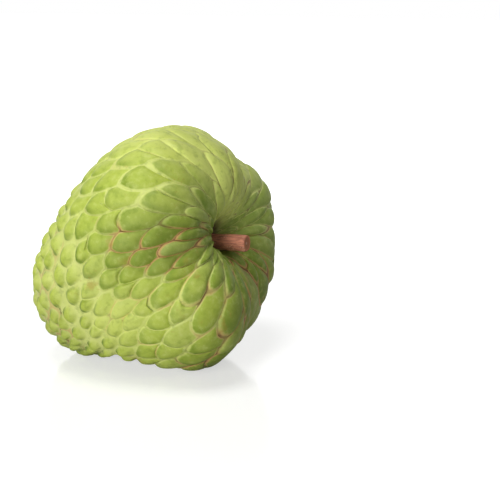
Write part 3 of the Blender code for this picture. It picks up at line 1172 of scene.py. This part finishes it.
    def build(self) -> bpy.types.Mesh:
        """Build the skin's mesh.

        Returns:
            The mesh, in the row frame, with its marks stored.
        """
        centres = self.net.centres()
        corners, rings = self.net.cells(centres)
        tones = np.random.default_rng(self.tone_seed).uniform(0.0, 1.0, len(centres))
        skin = SkinPoints()
        borders = self.border(corners, rings, skin)
        known = np.concatenate(skin.sphere)
        faces: list[tuple[int, ...]] = []
        for centre, ring, border, tone in zip(centres, rings, borders, tones):
            east, tipward = self.net.axes(centre)
            outline = known[border] / (known[border] @ centre)[:, None] - centre
            flat = np.stack([outline @ east, outline @ tipward], 1)
            polar = math.degrees(math.acos(centre[2]))
            pad = smooth_step(*self.tongue_polar, polar)
            taken = self.tongue_rounding + pad * (1.0 - self.tongue_rounding)
            rounded = 1.0 + (self.roundness(flat) - 1.0) * taken
            steps = self.bare_rings if polar < self.bare_polar[0] else self.rings
            reach = np.abs(flat[:, 1]).max()
            outer = border
            for share in reversed(steps[1:-1]):
                moved = flat * share
                spot = unit(centre + moved[:, :1] * east + moved[:, 1:] * tipward)
                same = np.full(len(spot), tone)
                inner = skin.add(spot, rounded * share, moved[:, 1] / reach, same)
                faces.extend(
                    (outer[side - 1], outer[side], inner[side], inner[side - 1])
                    for side in range(len(outer))
                )
                outer = inner
            middle = skin.add(centre[None, :], np.zeros(1), np.zeros(1), np.full(1, tone))[0]
            faces.extend((outer[side - 1], outer[side], middle) for side in range(len(outer)))
        return self.finish_mesh(skin, faces)

    def finish_mesh(self, skin: SkinPoints, faces: list[tuple[int, ...]]) -> bpy.types.Mesh:
        """Raise the carpels, lay the fruit down and store the marks.

        Args:
            skin: The skin's points.
            faces: Its faces.

        Returns:
            The mesh.
        """
        sphere = np.concatenate(skin.sphere)
        rim = np.concatenate(skin.rim)
        tip = np.concatenate(skin.tip)
        tone = np.concatenate(skin.tone)
        raised = self.heart.normals(sphere) * self.height(sphere, rim, tip, tone)[:, None]
        points = self.pose.place(self.heart.surface(sphere) + raised)
        points[:, 2] = np.maximum(points[:, 2], 0.0)  # worn flat where it lies on the ground
        mesh = bpy.data.meshes.new("fruit_skin")
        mesh.from_pydata(points.tolist(), [], faces)
        mesh.update()
        store_mark(mesh, Mark.RIM, rim)
        store_mark(mesh, Mark.TIP, tip)
        store_mark(mesh, Mark.TONE, tone)
        store_mark(mesh, Mark.STEM, polar_of(sphere) / 180.0)
        # Painted light and shade spots, stored for the skin's material.
        store_mark(mesh, Mark.PAINTED_LIGHT, sum(painted_lighting.reach(sphere) for painted_lighting in self.painted_light_spots))
        return mesh

    def make(self, finish: SkinFinish, effects: SharedEffects) -> None:
        """Build the fruit, dress it and let it stand for its CAD node.

        Args:
            finish: The skin's finish.
            effects: The shared node groups.
        """
        self.object = show("fruit_skin", self.build(), finish.material(effects))
        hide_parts("fruit")
        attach(self.object, "root")
        LOG.info("fruit: %d carpels, %d points", self.net.count, len(self.object.data.vertices))


@dataclass
class Stalk:
    """The cut woody stalk in the stem cavity."""

    pose: Pose = field(default_factory=Pose)
    root: tuple[float, float, float] = (1.5 * MM, -1.0 * MM, 20.0 * MM)
    direction: tuple[float, float, float] = (-0.35, 0.11, 0.93)
    length: float = 23.0 * MM
    # Share of the length, and radius (mm) there: slim neck, waist, swollen cut end.
    outline: tuple[tuple[float, float], ...] = (
        (0.0, 3.0),
        (0.3, 3.1),
        (0.55, 3.15),
        (0.8, 3.4),
        (0.95, 3.5),
        (1.0, 3.2),
    )
    sides: int = 72
    length_steps: int = 60
    cap_steps: int = 10
    ridges: int = 7
    ridge_depth: float = 0.07 * MM
    lump_height: float = 0.04 * MM
    lump_pitch: float = 5.0  # how fast the lumps follow one another along the stalk
    lump_kinds: int = 4
    dish: float = 0.35 * MM
    dish_roughness: float = 0.3  # as a share of its depth
    seed: int = 3
    object: bpy.types.Object | None = None

    def frame(self) -> tuple[Array, Array, Array, Array]:
        """Where the stalk stands in the row frame.

        Returns:
            Its root, its direction and two directions across it.
        """
        root = self.pose.place(np.array(self.root))
        ahead = self.pose.place(np.array(self.root) + np.array(self.direction) * MM)
        axis = unit(ahead - root)
        side = np.array(Vector(axis).orthogonal().normalized())
        return root, axis, side, np.cross(axis, side)

    def build(self) -> bpy.types.Mesh:
        """Build the stalk's mesh.

        Returns:
            The mesh, in the row frame, with its marks stored.
        """
        root, axis, side, other = self.frame()
        turn = np.arange(self.sides) * 2.0 * np.pi / self.sides
        source = np.random.default_rng(self.seed)
        phases = source.uniform(0.0, 2.0 * np.pi, 6)
        round_about = side * np.cos(turn)[:, None] + other * np.sin(turn)[:, None]
        shares = np.linspace(0.0, 1.0, self.length_steps)
        knots, radii = np.array(self.outline).T
        points, cut, ring = [], [], []
        for share in shares:
            radius = np.interp(share, knots, radii) * MM
            lumps = sum(
                math.sin(wave * self.lump_pitch * share + phases[wave]) * np.cos(wave * turn + phases[-wave])
                for wave in range(1, self.lump_kinds + 1)
            )
            reach = radius + self.ridge_depth * np.cos(self.ridges * turn) + self.lump_height * lumps
            points.append(root + axis * share * self.length + round_about * reach[:, None])
            cut.append(np.zeros(self.sides))
            ring.append(np.ones(self.sides))
        last = points[-1] - (root + axis * self.length)
        for step in range(1, self.cap_steps):
            share = 1.0 - step / self.cap_steps
            rough = source.uniform(-0.5, 0.5, self.sides)[:, None] * self.dish * self.dish_roughness
            depth = self.dish * (1.0 - share**2)
            points.append(root + axis * (self.length - depth + rough) + last * share)
            cut.append(np.ones(self.sides))
            ring.append(np.full(self.sides, share))
        rows = len(points)
        faces: list[tuple[int, ...]] = []
        for row in range(rows - 1):
            low, high = row * self.sides, (row + 1) * self.sides
            faces.extend(
                (low + step - 1, low + step, high + step, high + step - 1)
                for step in range(1, self.sides)
            )
            faces.append((low + self.sides - 1, low, high, high + self.sides - 1))
        faces.append(tuple(range(self.sides))[::-1])
        faces.append(tuple(range((rows - 1) * self.sides, rows * self.sides)))
        mesh = bpy.data.meshes.new("stalk_bark")
        mesh.from_pydata(np.concatenate(points).tolist(), [], faces)
        mesh.update()
        store_mark(mesh, Mark.CUT, np.concatenate(cut))
        store_mark(mesh, Mark.RING, np.concatenate(ring))
        return mesh

    def make(self, finish: BarkFinish, effects: SharedEffects) -> None:
        """Build the stalk, dress it and let it stand for its CAD node.

        Args:
            finish: The bark's finish.
            effects: The shared node groups.
        """
        self.object = show("stalk_bark", self.build(), finish.material(effects))
        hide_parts("stalk")
        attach(self.object, "root")
        LOG.info("stalk: %d points", len(self.object.data.vertices))


# ---------------------------------------------------------------------------------------------
# Studio


@dataclass(frozen=True)
class SoftBox:
    """One soft studio light, aimed at the fruit."""

    name: str
    place: tuple[float, float, float]  # metres from the fruit's middle
    size: float
    power: float

    def make(self, target: Vector) -> None:
        """Hang the light.

        Args:
            target: What it is aimed at.
        """
        light = bpy.data.lights.new(self.name, "AREA")
        light.shape = "DISK"
        light.size = self.size
        light.energy = self.power
        made = bpy.data.objects.new(self.name, light)
        made.location = target + Vector(self.place)
        made.rotation_euler = (target - made.location).to_track_quat("-Z", "Y").to_euler()
        bpy.context.scene.collection.objects.link(made)


@dataclass
class Studio:
    """Ground, lights, surroundings and camera."""

    ground_size: float = 6.0
    ground_drop: float = 0.2 * MM
    surroundings: float = 0.05
    lights: tuple[SoftBox, ...] = (
        SoftBox("top_light", (-0.05, -0.20, 1.00), 0.50, 5.2),
        SoftBox("key_light", (-0.60, -0.45, 0.80), 0.50, 1.2),
        SoftBox("front_light", (-0.22, -1.00, 0.22), 0.50, 6.4),
        SoftBox("right_light", (0.70, -0.60, 0.60), 0.50, 1.1),
    )
    azimuth: float = math.radians(16.875)
    elevation: float = math.radians(14.0)
    distance: float = 0.50
    lens: float = 83.56
    aim: tuple[float, float] = (43.0 * MM, -3.5 * MM)  # right of and above the fruit's middle

    def make(self, finish: GroundFinish, effects: SharedEffects, middle: Vector) -> None:
        """Set everything up round the fruit.

        Args:
            finish: The ground's finish.
            effects: The shared node groups.
            middle: The fruit's middle.
        """
        self.make_ground(finish, effects)
        for light in self.lights:
            light.make(middle)
        self.make_surroundings()
        self.make_camera(middle)
        LOG.info("studio: %d lights", len(self.lights))

    def make_ground(self, finish: GroundFinish, effects: SharedEffects) -> None:
        """Lay the ground just under the fruit.

        Args:
            finish: Its finish.
            effects: The shared node groups.
        """
        half = self.ground_size / 2.0
        outline = ((-half, -half), (half, -half), (half, half), (-half, half))
        corners = [(x, y, -self.ground_drop) for x, y in outline]
        mesh = bpy.data.meshes.new("ground")
        mesh.from_pydata(corners, [], [(0, 1, 2, 3)])
        ground = show("ground", mesh, finish.material(effects))

    def make_surroundings(self) -> None:
        """A plain white room: dimmer as a light than as what is seen, also in the gloss."""
        world = bpy.data.worlds.new("white_room")
        world.use_nodes = True
        graph = Graph(world.node_tree)
        back = world.node_tree.nodes["Background"]
        seen = graph.node("ShaderNodeBackground")
        seen.inputs["Strength"].default_value = 1.0
        seen.inputs["Color"].default_value = (1.0, 1.0, 1.0, 1.0)
        back.inputs["Color"].default_value = (1.0, 1.0, 1.0, 1.0)
        back.inputs["Strength"].default_value = self.surroundings
        choose = graph.node("ShaderNodeMixShader")
        path = graph.node("ShaderNodeLightPath")
        bright = graph.maths("MAXIMUM", path.outputs["Is Camera Ray"], path.outputs["Is Glossy Ray"])
        graph.feed(choose.inputs["Fac"], bright)
        graph.tree.links.new(back.outputs[0], choose.inputs[1])
        graph.tree.links.new(seen.outputs[0], choose.inputs[2])
        graph.tree.links.new(choose.outputs[0], world.node_tree.nodes["World Output"].inputs["Surface"])
        bpy.context.scene.world = world
        bpy.context.scene.view_settings.view_transform = "Standard"

    def make_camera(self, middle: Vector) -> None:
        """Set the camera up at the fruit's side, looking a little past it.

        Args:
            middle: The fruit's middle.
        """
        azimuth, elevation = self.azimuth, self.elevation
        right = Vector((math.cos(azimuth), math.sin(azimuth), 0.0))
        level = Vector((math.sin(azimuth), -math.cos(azimuth), 0.0))
        back = level * math.cos(elevation) + Vector((0.0, 0.0, math.sin(elevation)))
        up = back.cross(right)
        target = middle + right * self.aim[0] + up * self.aim[1]
        data = bpy.data.cameras.new("camera")
        data.lens = self.lens
        made = bpy.data.objects.new("camera", data)
        made.location = target + back * self.distance
        made.rotation_euler = back.to_track_quat("Z", "Y").to_euler()
        bpy.context.scene.collection.objects.link(made)
        bpy.context.scene.camera = made


def main() -> None:
    """Build the fruit, the stalk and the studio in order."""
    logging.basicConfig(level=logging.INFO, format="%(message)s")
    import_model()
    effects = SharedEffects(speckle_group(), grain_group())
    Fruit().make(SkinFinish(), effects)
    Stalk().make(BarkFinish(), effects)
    low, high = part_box("fruit")
    Studio().make(GroundFinish(), effects, (low + high) / 2.0)


if __name__ == "__main__":
    main()
